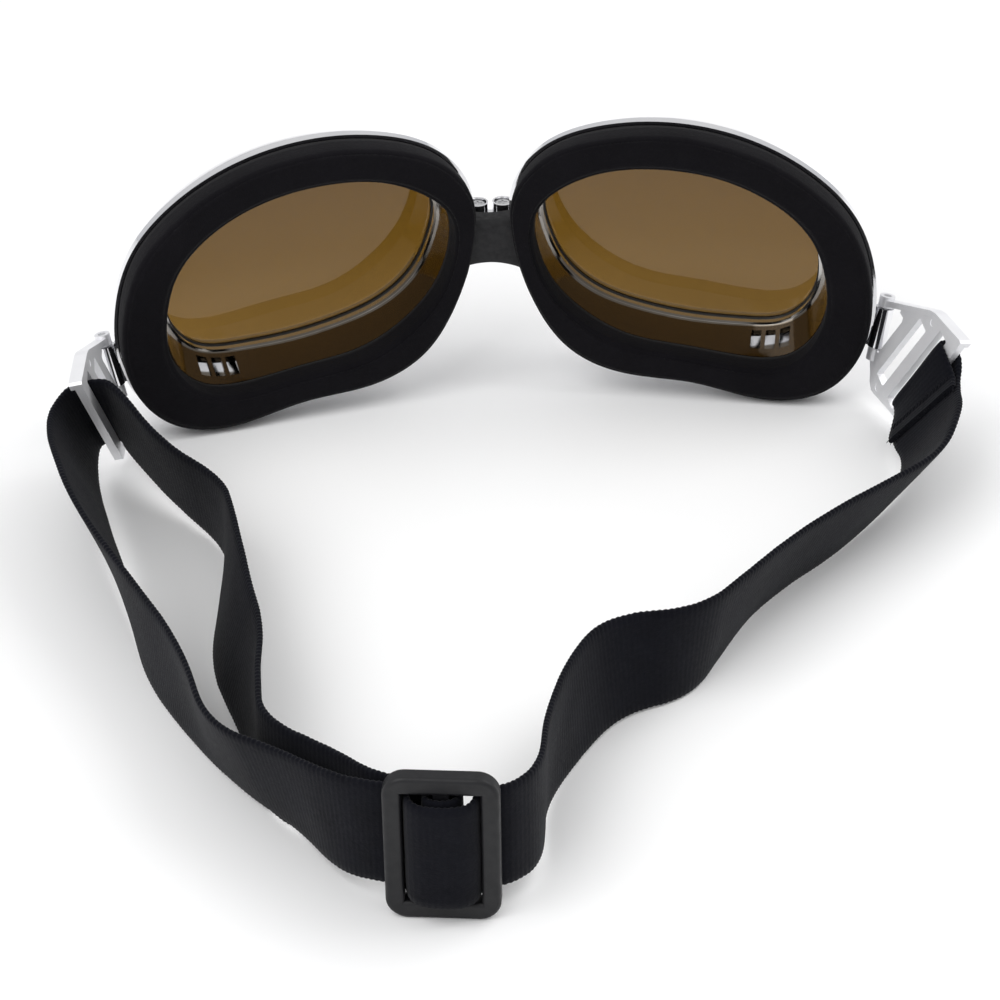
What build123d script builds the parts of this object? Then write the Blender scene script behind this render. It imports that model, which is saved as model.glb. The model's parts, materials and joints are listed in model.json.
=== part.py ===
from build123d import *
import math
import os

# Motorcycle goggles: two chrome-plated cups on a nose hinge, foam face pads, and an elastic strap with a
# slider. The goggles stand on the lower rims of the cups, as on a table.
# Frame: +Z up, +X to the wearer's right as seen from behind the goggles, +Y the way the lenses face.
# Origin: the middle of the nose bridge, where the rear planes of the two face pads meet.
# All lengths are in mm.

# ---- Driving dimensions ----
WRAP = 12.0             # each cup's rear plane turns back from the X axis by this angle, degrees
FLOOR_Z = -47.6         # the surface that the goggles and the strap stand on
PAD_THICK = 7.0         # foam face pad, rear face to flange
RIM_START, RIM_END = 6.9, 9.2      # depth range of the shell's rear rim
RIM_GROW = 1.0          # how far the rim stands out round the foam
WALL = 1.5              # shell wall
LINER_WALL = 1.3
FLANGE_END = 8.4        # front face of the liner's flange
LINER_STEP = 18.6       # depth where the liner's bore steps in
LINER_END = 20.6        # front end of the liner
LENS_REAR, LENS_FRONT = 21.4, 23.4
SHELL_FRONT = 25.2
LENS_LAP = 2.2          # how far the lens reaches under the shell's front lip
GASKET_END = 23.35

VENT_U = (64.5, 68.1, 71.7)        # across the cup, the middle of each vent
VENT_WIDTH = 2.5
VENT_START, VENT_END = 9.9, 16.6

NOSE_X, NOSE_Y = 3.1, 10.0         # the hinge screws' axes, either side of the middle
NOSE_TOP = 0.7          # top of the hinge bosses
EAR_UPPER, EAR_LOWER = 3.3, 3.1    # heights of the two ears of each clevis
LINK_THICK = 2.9
EAR_GAP = 0.2           # clearance between ear and link
BOSS_R = 2.6
LINK_R = 2.3
SCREW_R = 1.0
SCREW_HEAD_R, SCREW_HEAD_H = 1.9, 1.1
SCREW_LENGTH = 9.0
CROSS_SPAN, CROSS_WIDE, CROSS_DEEP = 2.2, 0.45, 0.5    # the screw's cross recess
HEAD_SINK = 0.35        # the screw's head lies this far under the boss's top
EAR_ARM = (3.8, 3.6)    # each ear's arm, out to the shell and front to rear
BLOCK_REAR, BLOCK_FRONT = 0.4, 6.2                 # soft block between the face pads
BLOCK_LOW, BLOCK_HIGH = -12.0, 0.2
BLOCK_HALF_REAR, BLOCK_HALF_FRONT = 3.6, 4.2

HINGE_U, HINGE_DEPTH, HINGE_V = 95.6, 8.1, -27.1   # middle of the bracket's pin, in the cup's frame
HINGE_LEAN, HINGE_PITCH = 9.1, 10.0                # the pin's top leans outward and forward
SLOT_TILT = 30.6        # the strap slots lean out from the pin
SWING_RIGHT, SWING_LEFT = 56.0, 71.0               # how far each bracket is swung back
PIN_R = 1.0
LUG_R = 2.3
KNUCKLE_R = 1.9
LUG_SPAN = (-5.9, 4.5)  # along the pin, from its middle
UPPER_KNUCKLE, LOWER_KNUCKLE = (4.8, 7.6), (-9.4, -6.2)
PIN_INSET = 0.2         # the pin's ends are this far inside the knuckles' outer faces
LUG_FOOT = (4.8, 2.6, 9.0)                         # the block between the lug's eye and the rim
RUN_CLEAR = 0.05        # radial running clearance of the pins
PIN_PRESS = 0.02        # the pin is held in the knuckles
EYE_ROOM = 0.5          # the web stands this far off the lug's eye

PLATE = 2.0             # bracket web
RIM_FRONT, RIM_REAR = -2.0, 1.2                    # the bracket's rim stands out on both sides of the web
RIM_WIDE = 1.7
PLATE_END = 24.2        # outer edge of the web
SLOT_LOW, SLOT_HIGH = -8.0, 20.0                   # ends of the strap slot
STRAP_SLOT = (16.8, 20.4)
SPARE_SLOT = (9.4, 13.4)
SPARE_LOW, SPARE_HIGH = -7.8, 15.0
EJECTOR_MARKS = ((12.3, -9.9), (13.4, 18.4))
EJECTOR_R, EJECTOR_DEEP = 0.95, 0.15

STRAP_W = 25.0
STRAP_T = 1.4
FIT = 0.15              # slack between a webbing loop and its bar
STRAP_MID = 6.8         # middle of the strap along the bracket's slots

SLIDER_AT = (-25.4, -200.0)
SLIDER_TURN = -8.0      # degrees about Z
SLIDER_W, SLIDER_H, SLIDER_T = 22.8, 34.6, 3.8
SLIDER_SIDE = 3.8       # side bars
SLIDER_MID_W, SLIDER_MID_T = 3.0, 2.4
SLIDER_SLOT_H = 26.6
SLIDER_CORNER, SLIDER_EDGE = 4.5, 0.9              # radii of the slider's corners and edges
WRAP_OUT, WRAP_TURN, WRAP_BAR = 12.6, 6.9, 4.6     # the wrap's ends, and its turns beside and at the bar
WRAP_FRONT, WRAP_BACK, WRAP_BEND = 3.3, -3.6, 1.2
LOOP_BEND = 1.6         # outer radius of the loops' corners

# Outlines in the cup's plane, as (u, v): u outward from the goggles' middle, v up. Each list starts at
# the nose and goes over the top, and the lists match point for point.
PAD_OUTER = [
    (4.1, 0), (6.2, 10), (13.5, 18), (25, 22.9), (42, 24.8), (59, 22), (76, 13.5), (87.5, 1.5),
    (92.6, -14), (91.5, -31), (82.5, -43.3), (67, -46.4), (50, -42.8), (32, -41), (18.5, -34.8),
    (10, -22.5), (5.6, -10),
]
PAD_INNER = [
    (9.4, -1.5), (11.5, 4.5), (17.2, 9.9), (28, 14.7), (42, 16), (56, 13.8), (68, 8.3), (77.5, -0.8),
    (81.9, -14), (80.7, -27.5), (73.5, -36.3), (61, -37.6), (47.5, -35.6), (33.5, -33.3),
    (21.5, -26.8), (13.5, -18), (10, -9),
]
LENS_OPEN = [
    (9.8, -3), (12, 2.5), (18, 7.2), (28.5, 11.2), (42, 12.6), (55, 10.8), (66.5, 5.6), (75, -2.6),
    (79.3, -14), (78.3, -26), (72, -33.2), (61, -34.8), (48.5, -34.2), (35, -31.8), (23.5, -27.5),
    (15, -19.8), (10.8, -10.5),
]

# The strap's free runs. Each row is x, y, z of the webbing's middle line and the x and y parts of the unit
# vector across it, which points up the webbing's width.
RIGHT_RUN = [
    (101.7, -38.1, -33.4, 0.445, -0.353), (99.9, -46, -33.9, 0.48, -0.34), (100, -55, -33.5, 0.41, -0.33),
    (93.7, -68.7, -36.2, 0.37, -0.46),
    (76, -86, -35.8, 0.3, -0.28), (57, -102, -35.6, 0.3, -0.24), (44, -119, -35.3, 0.2, -0.2),
    (33, -135, -34.9, 0.04, -0.1), (15, -138, -34.8, -0.1, 0.1), (6, -150, -34.8, -0.08, 0.1),
    (-3, -170, -34, 0.05, 0), (-5, -190, -31.5, 0, 0), (-12.2, -198.5, -30.3, 0, 0),
]
OUTER_LEG = [
    (-100.2, -38.7, -32.3, -0.24, -0.37), (-103.3, -46.5, -32.5, -0.41, -0.16),
    (-99.4, -69.8, -30.8, -0.41, -0.17), (-93.9, -88, -32.9, -0.33, -0.2), (-86, -116, -34.8, 0, 0),
    (-76, -139, -34.8, 0, -0.06),
    (-68, -162, -35, -0.28, -0.26), (-55, -175, -34, -0.18, -0.15), (-46, -189, -32, -0.05, 0),
    (-37.6, -195, -30.3, 0, 0),
]
INNER_LEG = [
    (-93, -38.2, -30.2, -0.17, -0.33), (-88, -43.5, -30.8, -0.09, -0.28), (-80.5, -54.7, -33.6, -0.12, -0.31),
    (-67.1, -71.1, -35.1, -0.05, -0.21), (-67, -88, -34.9, 0.15, 0), (-66, -113, -35.3, 0.3, 0.05),
    (-62, -133, -35.2, 0.22, 0.05), (-61, -150, -34.8, 0.05, 0), (-60, -166, -34.6, 0, 0),
    (-46, -179, -33.5, 0, 0), (-38, -191, -31, 0, 0), (-30.5, -194.2, -30.3, 0, 0),
    (-23.4, -196.7, -30.3, 0, 0),
]


# ---- Outlines and lofts in the cup's own frame: X is u, Y is depth, Z is v ----
def grown(points, amount):
    """Move each point of a closed outline outward, square to the line between its neighbours."""
    result = []
    count = len(points)
    for i, (u, v) in enumerate(points):
        before = points[i - 1]
        after = points[(i + 1) % count]
        du = after[0] - before[0]
        dv = after[1] - before[1]
        length = math.hypot(du, dv)
        result.append((u - amount * dv / length, v + amount * du / length))
    return result


def between(first, second, share):
    """The outline that lies the given share of the way from the first to the second."""
    return [(a[0] + share * (b[0] - a[0]), a[1] + share * (b[1] - a[1])) for a, b in zip(first, second)]


def outline_wire(points, depth):
    return Wire([Edge.make_spline([Vector(u, depth, v) for u, v in points], periodic=True)])


def slab(points, start, end):
    """A flat plate with the given outline, between two depths."""
    return extrude(Face(outline_wire(points, start)), amount=end - start, dir=(0, 1, 0))


def sleeve(sections):
    """A solid through several outlines, each given with its depth."""
    return Solid.make_loft([outline_wire(points, depth) for points, depth in sections])


def taper(depth):
    """Share of the way from the rim's outline to the front lip's, which gives the wall its bulge."""
    t = (depth - RIM_END) / (SHELL_FRONT - RIM_END)
    return 0.35 * t + 0.73 * t * t


def shell_skin(grow, depths):
    rear = grown(PAD_OUTER, 0.6 + grow)
    front = grown(LENS_OPEN, 4.0 + grow)
    return sleeve([(between(rear, front, taper(d)), d) for d in depths])


def to_side(part, side):
    """Turn a part built in the right cup's frame into place, and mirror it for the left cup."""
    placed = Rot(0, 0, -WRAP) * part
    if side == "left":
        placed = mirror(placed, about=Plane.YZ)
    return placed


def for_side(part, side):
    return mirror(part, about=Plane.YZ) if side == "left" else part


# ---- Cup ----
def vents():
    middle = (VENT_START + VENT_END) / 2
    length = VENT_END - VENT_START
    return [Pos(u, middle, -40) * Box(VENT_WIDTH, length, 22) for u in VENT_U]


def rod(start, direction, length, radius):
    """A cylinder that runs from a point along a direction."""
    return extrude(Plane(origin=start, z_dir=direction) * Circle(radius), amount=length)


def make_shell():
    rim = slab(grown(PAD_OUTER, RIM_GROW), RIM_START, RIM_END)
    skin = shell_skin(0, [RIM_END - 0.2, 13, 17, 21, 24, SHELL_FRONT])
    recess = slab(grown(PAD_OUTER, FIT), RIM_START - 1, FLANGE_END + 0.2)
    hollow = shell_skin(-WALL, [FLANGE_END - 0.4, 13, 17, 21, LENS_FRONT + 0.2])
    window = slab(grown(LENS_OPEN, 0.2), LENS_FRONT, SHELL_FRONT + 1)
    return rim + skin - recess - hollow - window - vents()


def make_liner():
    flange = slab(PAD_OUTER, PAD_THICK + 0.05, FLANGE_END)
    outside = sleeve([
        (grown(PAD_INNER, LINER_WALL), PAD_THICK + 0.05),
        (grown(between(PAD_INNER, LENS_OPEN, 0.5), LINER_WALL), 13.5),
        (grown(LENS_OPEN, LINER_WALL), LINER_END),
    ])
    bore = sleeve([
        (PAD_INNER, PAD_THICK - 0.5),
        (between(PAD_INNER, LENS_OPEN, 0.5), 13.5),
        (grown(LENS_OPEN, 0.4), LINER_STEP),
    ])
    throat = slab(grown(LENS_OPEN, -0.3), LINER_STEP - 1, LINER_END + 1)
    return flange + outside - bore - throat - vents()


def make_gasket():
    body = slab(grown(LENS_OPEN, LENS_LAP + 0.3), LINER_END + 0.05, GASKET_END)
    seat = slab(grown(LENS_OPEN, LENS_LAP + 0.05), LENS_REAR - 0.02, GASKET_END + 1)
    window = slab(grown(LENS_OPEN, -0.6), LINER_END - 1, LENS_REAR + 1)
    return body - seat - window


def make_lens():
    return slab(grown(LENS_OPEN, LENS_LAP), LENS_REAR, LENS_FRONT)


def make_pad():
    return slab(PAD_OUTER, 0, PAD_THICK) - slab(PAD_INNER, -1, PAD_THICK + 1)


# ---- Nose hinge, built in place for the right side ----
def nose_ears():
    """Two ears on the shell that hold the link between them."""
    upper_low = NOSE_TOP - EAR_UPPER
    lower_high = upper_low - 2 * EAR_GAP - LINK_THICK
    ears = []
    for low, height in ((upper_low, EAR_UPPER), (lower_high - EAR_LOWER, EAR_LOWER)):
        boss = Pos(NOSE_X, NOSE_Y, low) * extrude(Circle(BOSS_R), amount=height)
        arm = Pos(NOSE_X + EAR_ARM[0] / 2, NOSE_Y - 0.1, low + height / 2) * Box(*EAR_ARM, height)
        ears.append(boss + arm)
    bottom = NOSE_TOP - SCREW_HEAD_H - HEAD_SINK - RUN_CLEAR
    counterbore = Pos(NOSE_X, NOSE_Y, bottom) * extrude(Circle(SCREW_HEAD_R + 0.25), amount=2 * SCREW_HEAD_H)
    bore = Pos(NOSE_X, NOSE_Y, lower_high - EAR_LOWER - 1) * extrude(
        Circle(SCREW_R + RUN_CLEAR), amount=2 * SCREW_LENGTH)
    return [ear - counterbore - bore for ear in ears]


def make_link():
    low = NOSE_TOP - EAR_UPPER - EAR_GAP - LINK_THICK
    plate = extrude(SlotCenterToCenter(2 * NOSE_X, 2 * LINK_R), amount=LINK_THICK)
    for x in (-NOSE_X, NOSE_X):
        plate -= Pos(x, 0, -1) * extrude(Circle(SCREW_R + RUN_CLEAR), amount=LINK_THICK + 2)
    return Pos(0, NOSE_Y, low) * plate


def make_screw():
    head_low = NOSE_TOP - SCREW_HEAD_H - HEAD_SINK
    head = extrude(Circle(SCREW_HEAD_R), amount=SCREW_HEAD_H)
    head = fillet(head.edges().group_by(Axis.Z)[-1], 0.4)
    cross = Box(CROSS_SPAN, CROSS_WIDE, 2 * CROSS_DEEP) + Box(CROSS_WIDE, CROSS_SPAN, 2 * CROSS_DEEP)
    head -= Pos(0, 0, SCREW_HEAD_H) * cross
    shank = Pos(0, 0, -SCREW_LENGTH + SCREW_HEAD_H) * extrude(Circle(SCREW_R), amount=SCREW_LENGTH - 0.2)
    return Pos(NOSE_X, NOSE_Y, head_low) * (head + shank)


def make_bridge_pad():
    """Soft block between the two foam pads, wider at the front than at the face."""
    plan = make_face(Polyline(
        (-BLOCK_HALF_REAR, BLOCK_REAR), (BLOCK_HALF_REAR, BLOCK_REAR),
        (BLOCK_HALF_FRONT, BLOCK_FRONT), (-BLOCK_HALF_FRONT, BLOCK_FRONT), close=True))
    return extrude(Plane.XY.offset(BLOCK_LOW) * plan, amount=BLOCK_HIGH - BLOCK_LOW)


# ---- Strap bracket, in the cup's frame for the right side ----
def bracket_plane(swing):
    """Plane of the bracket's web at the pin: X runs outward across the slots, Y up along them."""
    turn = math.radians(swing)
    tilt = math.radians(SLOT_TILT)
    lean = math.tan(math.radians(HINGE_LEAN))
    pitch = math.tan(math.radians(HINGE_PITCH))
    pin = Vector(lean, pitch, 1).normalized()
    outward = (Vector(1, 0, 0) - pin * pin.X).normalized()
    plate = outward * math.cos(turn) - pin.cross(outward) * math.sin(turn)
    along = pin * math.cos(tilt) + plate * math.sin(tilt)
    across = plate * math.cos(tilt) - pin * math.sin(tilt)
    origin = Vector(HINGE_U, HINGE_DEPTH, HINGE_V)
    return Plane(origin=origin, x_dir=across, z_dir=across.cross(along))


def pin_rod(span, radius):
    """A cylinder on the pin's axis, between two places along it, in the bracket's plane."""
    tilt = math.radians(SLOT_TILT)
    axis = Vector(-math.sin(tilt), math.cos(tilt), 0)
    return rod(axis * span[0], axis, span[1] - span[0], radius)


def flat(points, low, high):
    """A prism on the bracket's plane through the given corners."""
    return extrude(Plane.XY.offset(low) * make_face(Polyline(*points, close=True)), amount=high - low)


def slot_cut(across, low, high):
    middle = Pos((across[0] + across[1]) / 2, (low + high) / 2, -2 * PLATE)
    return middle * extrude(RectangleRounded(across[1] - across[0], high - low, 0.5), amount=4 * PLATE)


def make_bracket():
    half = PLATE / 2
    top = [(-2.9, 5.9), (10.8, 19.9), (12.6, 21.0), (23.4, 24.8), (PLATE_END, 24.6)]
    bottom = [(PLATE_END, -7.2), (23.6, -8.0), (19.0, -9.6), (12.4, -12.1), (11.2, -12.4), (9.2, -11.6)]
    hinge_edge = [(6.9, -9.6), (3.2, -7.0), (2.6, -4.4), (5.7, -4.4), (5.7, 8.4), (5.2, 9.4), (3.4, 9.2),
                  (2.8, 10.6), (-1.6, 5.8)]
    body = flat(top + bottom + hinge_edge, -half, half)
    under = [(PLATE_END, 24.6 - RIM_WIDE), (23.2, 24.8 - RIM_WIDE), (12.9, 21.0 - RIM_WIDE), (11.6, 18.6),
             (-1.7, 5.0)]
    body += flat(top + under, RIM_FRONT, RIM_REAR)
    for span in (UPPER_KNUCKLE, LOWER_KNUCKLE):
        body += pin_rod(span, KNUCKLE_R)
    body -= slot_cut(SPARE_SLOT, SPARE_LOW, SPARE_HIGH)
    body -= slot_cut(STRAP_SLOT, SLOT_LOW, SLOT_HIGH)
    for g, e in EJECTOR_MARKS:
        body -= Pos(g, e, half - EJECTOR_DEEP) * extrude(Circle(EJECTOR_R), amount=PLATE)
    low = LUG_SPAN[0] - EAR_GAP
    high = LUG_SPAN[1] + EAR_GAP
    body -= pin_rod((low, high), LUG_R + EYE_ROOM)
    return body - pin_rod((LOWER_KNUCKLE[0] - 1, UPPER_KNUCKLE[1] + 1), PIN_R + PIN_PRESS)


def make_pin():
    return pin_rod((LOWER_KNUCKLE[0] + PIN_INSET, UPPER_KNUCKLE[1] - PIN_INSET), PIN_R)


def make_lug():
    """The shell's lug: an eye round the middle of the pin, with a foot that reaches the rim."""
    plane = bracket_plane(0)
    eye = plane * pin_rod(LUG_SPAN, LUG_R)
    middle = (LUG_SPAN[0] + LUG_SPAN[1]) / 2
    foot = Pos(HINGE_U - LUG_FOOT[0] / 2, HINGE_DEPTH, HINGE_V + middle) * Rot(
        -HINGE_PITCH, HINGE_LEAN, 0) * Box(*LUG_FOOT)
    foot -= slab(grown(PAD_OUTER, RIM_GROW - 0.2), RIM_START - 2, SHELL_FRONT)
    return eye + foot - plane * pin_rod((LUG_SPAN[0] - 1, LUG_SPAN[1] + 1), PIN_R + RUN_CLEAR)


def make_loop():
    """Webbing round the bracket's outer bar, in the bracket's plane."""
    middle = (STRAP_SLOT[1] + PLATE_END) / 2
    bar_w = PLATE_END - STRAP_SLOT[1]
    inner = RectangleRounded(bar_w + 2 * FIT, PLATE + 2 * FIT, 0.3)
    outer = RectangleRounded(bar_w + 2 * FIT + 2 * STRAP_T, PLATE + 2 * FIT + 2 * STRAP_T, LOOP_BEND)
    ring = extrude(Plane.XZ * (outer - inner), amount=STRAP_W / 2, both=True)
    return Pos(middle, STRAP_MID, 0) * ring


# ---- Webbing runs ----
def across_vector(row):
    x, y = row[3], row[4]
    return Vector(x, y, math.sqrt(1 - x * x - y * y))


def run_sections(route):
    """Middle points and width vectors along the smooth curve that the route's points steer."""
    rows = [(Vector(*row[:3]), across_vector(row)) for row in route]
    sections = [rows[0]]
    for i in range(1, len(rows) - 1):
        near = [rows[i - 1], rows[i], rows[i + 1]]
        for weights in ((0.125, 0.75, 0.125), (0, 0.5, 0.5)):
            point = Vector(0, 0, 0)
            width = Vector(0, 0, 0)
            for weight, (p, w) in zip(weights, near):
                point += p * weight
                width += w * weight
            sections.append((point, width))
    sections[-1] = rows[-1]
    return sections


def webbing(route, thickness=STRAP_T, lift=0.0):
    """A flat band along a route, raised off the middle line by the lift."""
    sections = run_sections(route)
    wires = []
    for i, (point, width) in enumerate(sections):
        ahead = sections[min(i + 1, len(sections) - 1)][0]
        behind = sections[max(i - 1, 0)][0]
        normal = (ahead - behind).cross(width).normalized()
        half_w = width.normalized() * (STRAP_W / 2)
        half_t = normal * (thickness / 2)
        middle = point + normal * lift
        corners = [middle - half_w - half_t, middle + half_w - half_t, middle + half_w + half_t,
                   middle - half_w + half_t]
        wires.append(Wire.make_polygon(corners, close=True))
    return Solid.make_loft(wires, ruled=True)


# ---- Slider ----
def slider_place():
    return Pos(SLIDER_AT[0], SLIDER_AT[1], FLOOR_Z + SLIDER_H / 2) * Rot(0, 0, SLIDER_TURN)


def make_slider():
    frame = extrude(Plane.XZ * RectangleRounded(SLIDER_W, SLIDER_H, SLIDER_CORNER), amount=SLIDER_T / 2, both=True)
    opening = SLIDER_W - 2 * SLIDER_SIDE
    frame -= extrude(Plane.XZ * Rectangle(opening, SLIDER_SLOT_H), amount=SLIDER_T, both=True)
    frame = fillet(frame.edges().filter_by(Plane.XZ), SLIDER_EDGE)
    bar = Box(SLIDER_MID_W, SLIDER_MID_T, SLIDER_SLOT_H + 0.4)
    return slider_place() * (frame + bar)


def make_slider_loop():
    """The strap's sewn end round the slider's middle bar."""
    inner = RectangleRounded(SLIDER_MID_W + 2 * FIT, SLIDER_MID_T + 2 * FIT, 0.4)
    outer = RectangleRounded(SLIDER_MID_W + 2 * (FIT + STRAP_T), SLIDER_MID_T + 2 * (FIT + STRAP_T), LOOP_BEND)
    ring = extrude(outer - inner, amount=STRAP_W / 2, both=True)
    return slider_place() * ring


def make_slider_wrap():
    """The strap's running part, which passes in front of the middle bar and behind the side bars."""
    path = FilletPolyline(
        (-WRAP_OUT, WRAP_FRONT), (-WRAP_TURN, WRAP_FRONT), (-WRAP_BAR, WRAP_BACK),
        (WRAP_BAR, WRAP_BACK), (WRAP_TURN, WRAP_FRONT), (WRAP_OUT, WRAP_FRONT), radius=WRAP_BEND)
    return slider_place() * extrude(trace(path, STRAP_T), amount=STRAP_W / 2, both=True)


# ---- Build and export ----
def build():
    nodes = {}
    for side, swing in (("right", SWING_RIGHT), ("left", SWING_LEFT)):
        shell = make_shell() + make_lug()
        shell = Rot(0, 0, -WRAP) * shell
        for ear in nose_ears():
            shell += ear
        nodes[f"shell_{side}"] = for_side(shell, side)
        nodes[f"liner_{side}"] = to_side(make_liner(), side)
        nodes[f"lens_gasket_{side}"] = to_side(make_gasket(), side)
        nodes[f"lens_{side}"] = to_side(make_lens(), side)
        nodes[f"foam_pad_{side}"] = to_side(make_pad(), side)
        nodes[f"nose_screw_{side}"] = for_side(make_screw(), side)
        plane = bracket_plane(swing)
        nodes[f"strap_bracket_{side}"] = to_side(plane * make_bracket(), side)
        nodes[f"bracket_pin_{side}"] = to_side(plane * make_pin(), side)
        nodes[f"strap_loop_{side}"] = to_side(plane * make_loop(), side)
    nodes["nose_link"] = make_link()
    nodes["nose_bridge_pad"] = make_bridge_pad()
    nodes["strap_right_run"] = webbing(RIGHT_RUN)
    nodes["strap_outer_leg"] = webbing(OUTER_LEG)
    nodes["strap_inner_leg"] = webbing(INNER_LEG)
    nodes["strap_slider"] = make_slider()
    nodes["strap_slider_loop"] = make_slider_loop()
    nodes["strap_slider_wrap"] = make_slider_wrap()
    return nodes


os.makedirs("parts", exist_ok=True)
for name, shape in build().items():
    export_step(shape, f"parts/{name}.step")
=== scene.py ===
"""Looks of the motorcycle goggles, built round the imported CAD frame.

Metres, +Z up. The lenses face +Y, and the strap lies behind the cups, towards -Y.
"""

import json
import math
import random

import bmesh
import bpy
import numpy as np
from mathutils import Matrix, Vector, noise


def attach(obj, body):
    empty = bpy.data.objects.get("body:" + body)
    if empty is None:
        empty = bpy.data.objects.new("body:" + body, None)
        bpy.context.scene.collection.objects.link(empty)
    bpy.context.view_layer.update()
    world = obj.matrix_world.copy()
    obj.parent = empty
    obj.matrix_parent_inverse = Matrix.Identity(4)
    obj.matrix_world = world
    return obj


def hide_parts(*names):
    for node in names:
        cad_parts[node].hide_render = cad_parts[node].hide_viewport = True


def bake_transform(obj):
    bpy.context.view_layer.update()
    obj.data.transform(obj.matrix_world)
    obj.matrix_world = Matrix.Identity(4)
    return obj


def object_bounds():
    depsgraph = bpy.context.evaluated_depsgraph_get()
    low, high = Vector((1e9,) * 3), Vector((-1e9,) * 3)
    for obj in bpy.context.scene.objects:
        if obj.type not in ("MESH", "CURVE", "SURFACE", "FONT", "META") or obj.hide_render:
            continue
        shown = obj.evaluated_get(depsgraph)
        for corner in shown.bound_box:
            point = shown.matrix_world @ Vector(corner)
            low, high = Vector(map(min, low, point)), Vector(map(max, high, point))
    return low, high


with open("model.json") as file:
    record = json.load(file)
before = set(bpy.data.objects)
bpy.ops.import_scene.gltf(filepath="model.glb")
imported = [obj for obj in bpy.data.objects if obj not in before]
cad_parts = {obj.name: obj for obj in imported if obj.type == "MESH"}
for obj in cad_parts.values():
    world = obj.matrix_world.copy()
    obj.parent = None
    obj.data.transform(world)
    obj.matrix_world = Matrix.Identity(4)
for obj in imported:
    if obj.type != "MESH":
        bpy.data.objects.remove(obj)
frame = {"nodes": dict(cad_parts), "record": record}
CAD_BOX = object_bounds()

MM = 0.001
WRAP = math.radians(12)          # each cup's rear plane turns back from the X axis by this angle
FLOOR = CAD_BOX[0].z
FLOOR_HALF = 4                   # half the side of the white surface under the goggles

# Camera
CAMERA_AZIMUTH = math.radians(-3.966)
CAMERA_ELEVATION = math.radians(32.837)
CAMERA_ROLL = math.radians(0.853)
CAMERA_DISTANCE = 0.77953
CAMERA_TARGET = Vector((0.000635, 0, -0.08086))
CAMERA_LENS = 108.3
CAMERA_SENSOR = 36

# Strap
STRAP_WIDTH = 25 * MM
STRAP_THICK = 1.4 * MM
RIB_PITCH = 1.25 * MM
RIB_STEPS = 5                    # sections per rib
BAND_COLUMNS = 14                # quads across each face
RIB_DEPTH = 0.02 * MM
SCALLOP = 0.24 * MM              # depth of the scallops along its edges
WAVER = 0.14 * MM                # how far its faces and edges stray from true
RIGHT_FRONT = 75 * MM            # the front stretch on the right, from the bracket's bar
LEFT_FRONT = 80 * MM             # each front stretch on the left, from the middle of the bracket's turn
TURN_REACH = 12 * MM             # this far either side of that middle, given to strap_piece as blend_from
SLIDER_REACH = 30 * MM           # length of the strap's stretches next to the slider

# Sewn tail at the right bracket
TAIL_LENGTH = 10.5 * MM          # from the bar to the cut end
TAIL_START = 6.5 * MM            # the tail lies on the run from this far past the bar
TAIL_GAP = 0.12 * MM             # between the tail and the run
SEAM_SIDE = -1                   # the side of the tail that the seam lies on
SEAM_PLACE = 3.2 * MM            # from the cut end to the seam
SEAM_DEPTH = 1.6 * MM            # length of a stitch along the strap
SEAM_MARGIN = 1.5 * MM           # from the seam's ends to the webbing's edges
SEAM_STITCHES = 34
STITCH_STEPS = 4
STITCH_ARCH = 0.10 * MM          # a stitch's middle stands this far off the webbing
STITCH_RADIUS = 0.16 * MM
FRAY_THREADS = 90
FRAY_RADIUS = 0.09 * MM
THREAD_SIDES = 5

# Brackets and slider, as in part.py
HINGE = Vector((95.6, 8.1, -27.1)) * MM          # middle of the pin, in the right cup's frame
HINGE_LEAN, HINGE_PITCH = math.radians(9.1), math.radians(10)
SLOT_TILT = math.radians(30.6)
SWING_RIGHT, SWING_LEFT = math.radians(56), math.radians(71)
STRAP_MID = 6.8 * MM             # middle of the webbing along the slots, from the hinge
SLIDER = Vector((-25.4, -200.0, -30.3)) * MM
SLIDER_TURN = math.radians(-8)

# Lens tint, which darkens from the bottom to the top
LENS_LOW, LENS_HIGH = -37 * MM, 13 * MM
# Behind this depth the liner's colour is a painted reflection, dark bronze.
LINER_LIP = 18.7 * MM            # depth from which the liner is bright

# Foam face pads
PAD_THICK = 7 * MM
PAD_ROUND = 1.3 * MM
PAD_CROWN = 0.25 * MM            # the rear face rises this much in the middle
PAD_STEPS = 260                  # points round each outline
PAD_TURN = np.radians((0, 22, 45, 67, 85))       # angles round the rear edges

# Nose bridge
NOSE_HALF = 7.2 * MM
NOSE_LOW, NOSE_HIGH = -13.2 * MM, 1.0 * MM
NOSE_ARCH = 1.3 * MM             # the lower edge rises this much in the middle
NOSE_TILT = 0.6 * MM             # and falls this much from the middle to the right end
NOSE_DIP = 0.9 * MM              # the upper edge sinks this much in the middle
NOSE_REAR, NOSE_FRONT = 0.5 * MM, 6.0 * MM       # depth of the rear face at the ends, and of the front face
NOSE_WAIST = 0.5 * MM            # the rear face lies this much deeper in the middle
NOSE_SQUARE = 0.22               # 1 makes the section an ellipse, 0 a rectangle

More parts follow.
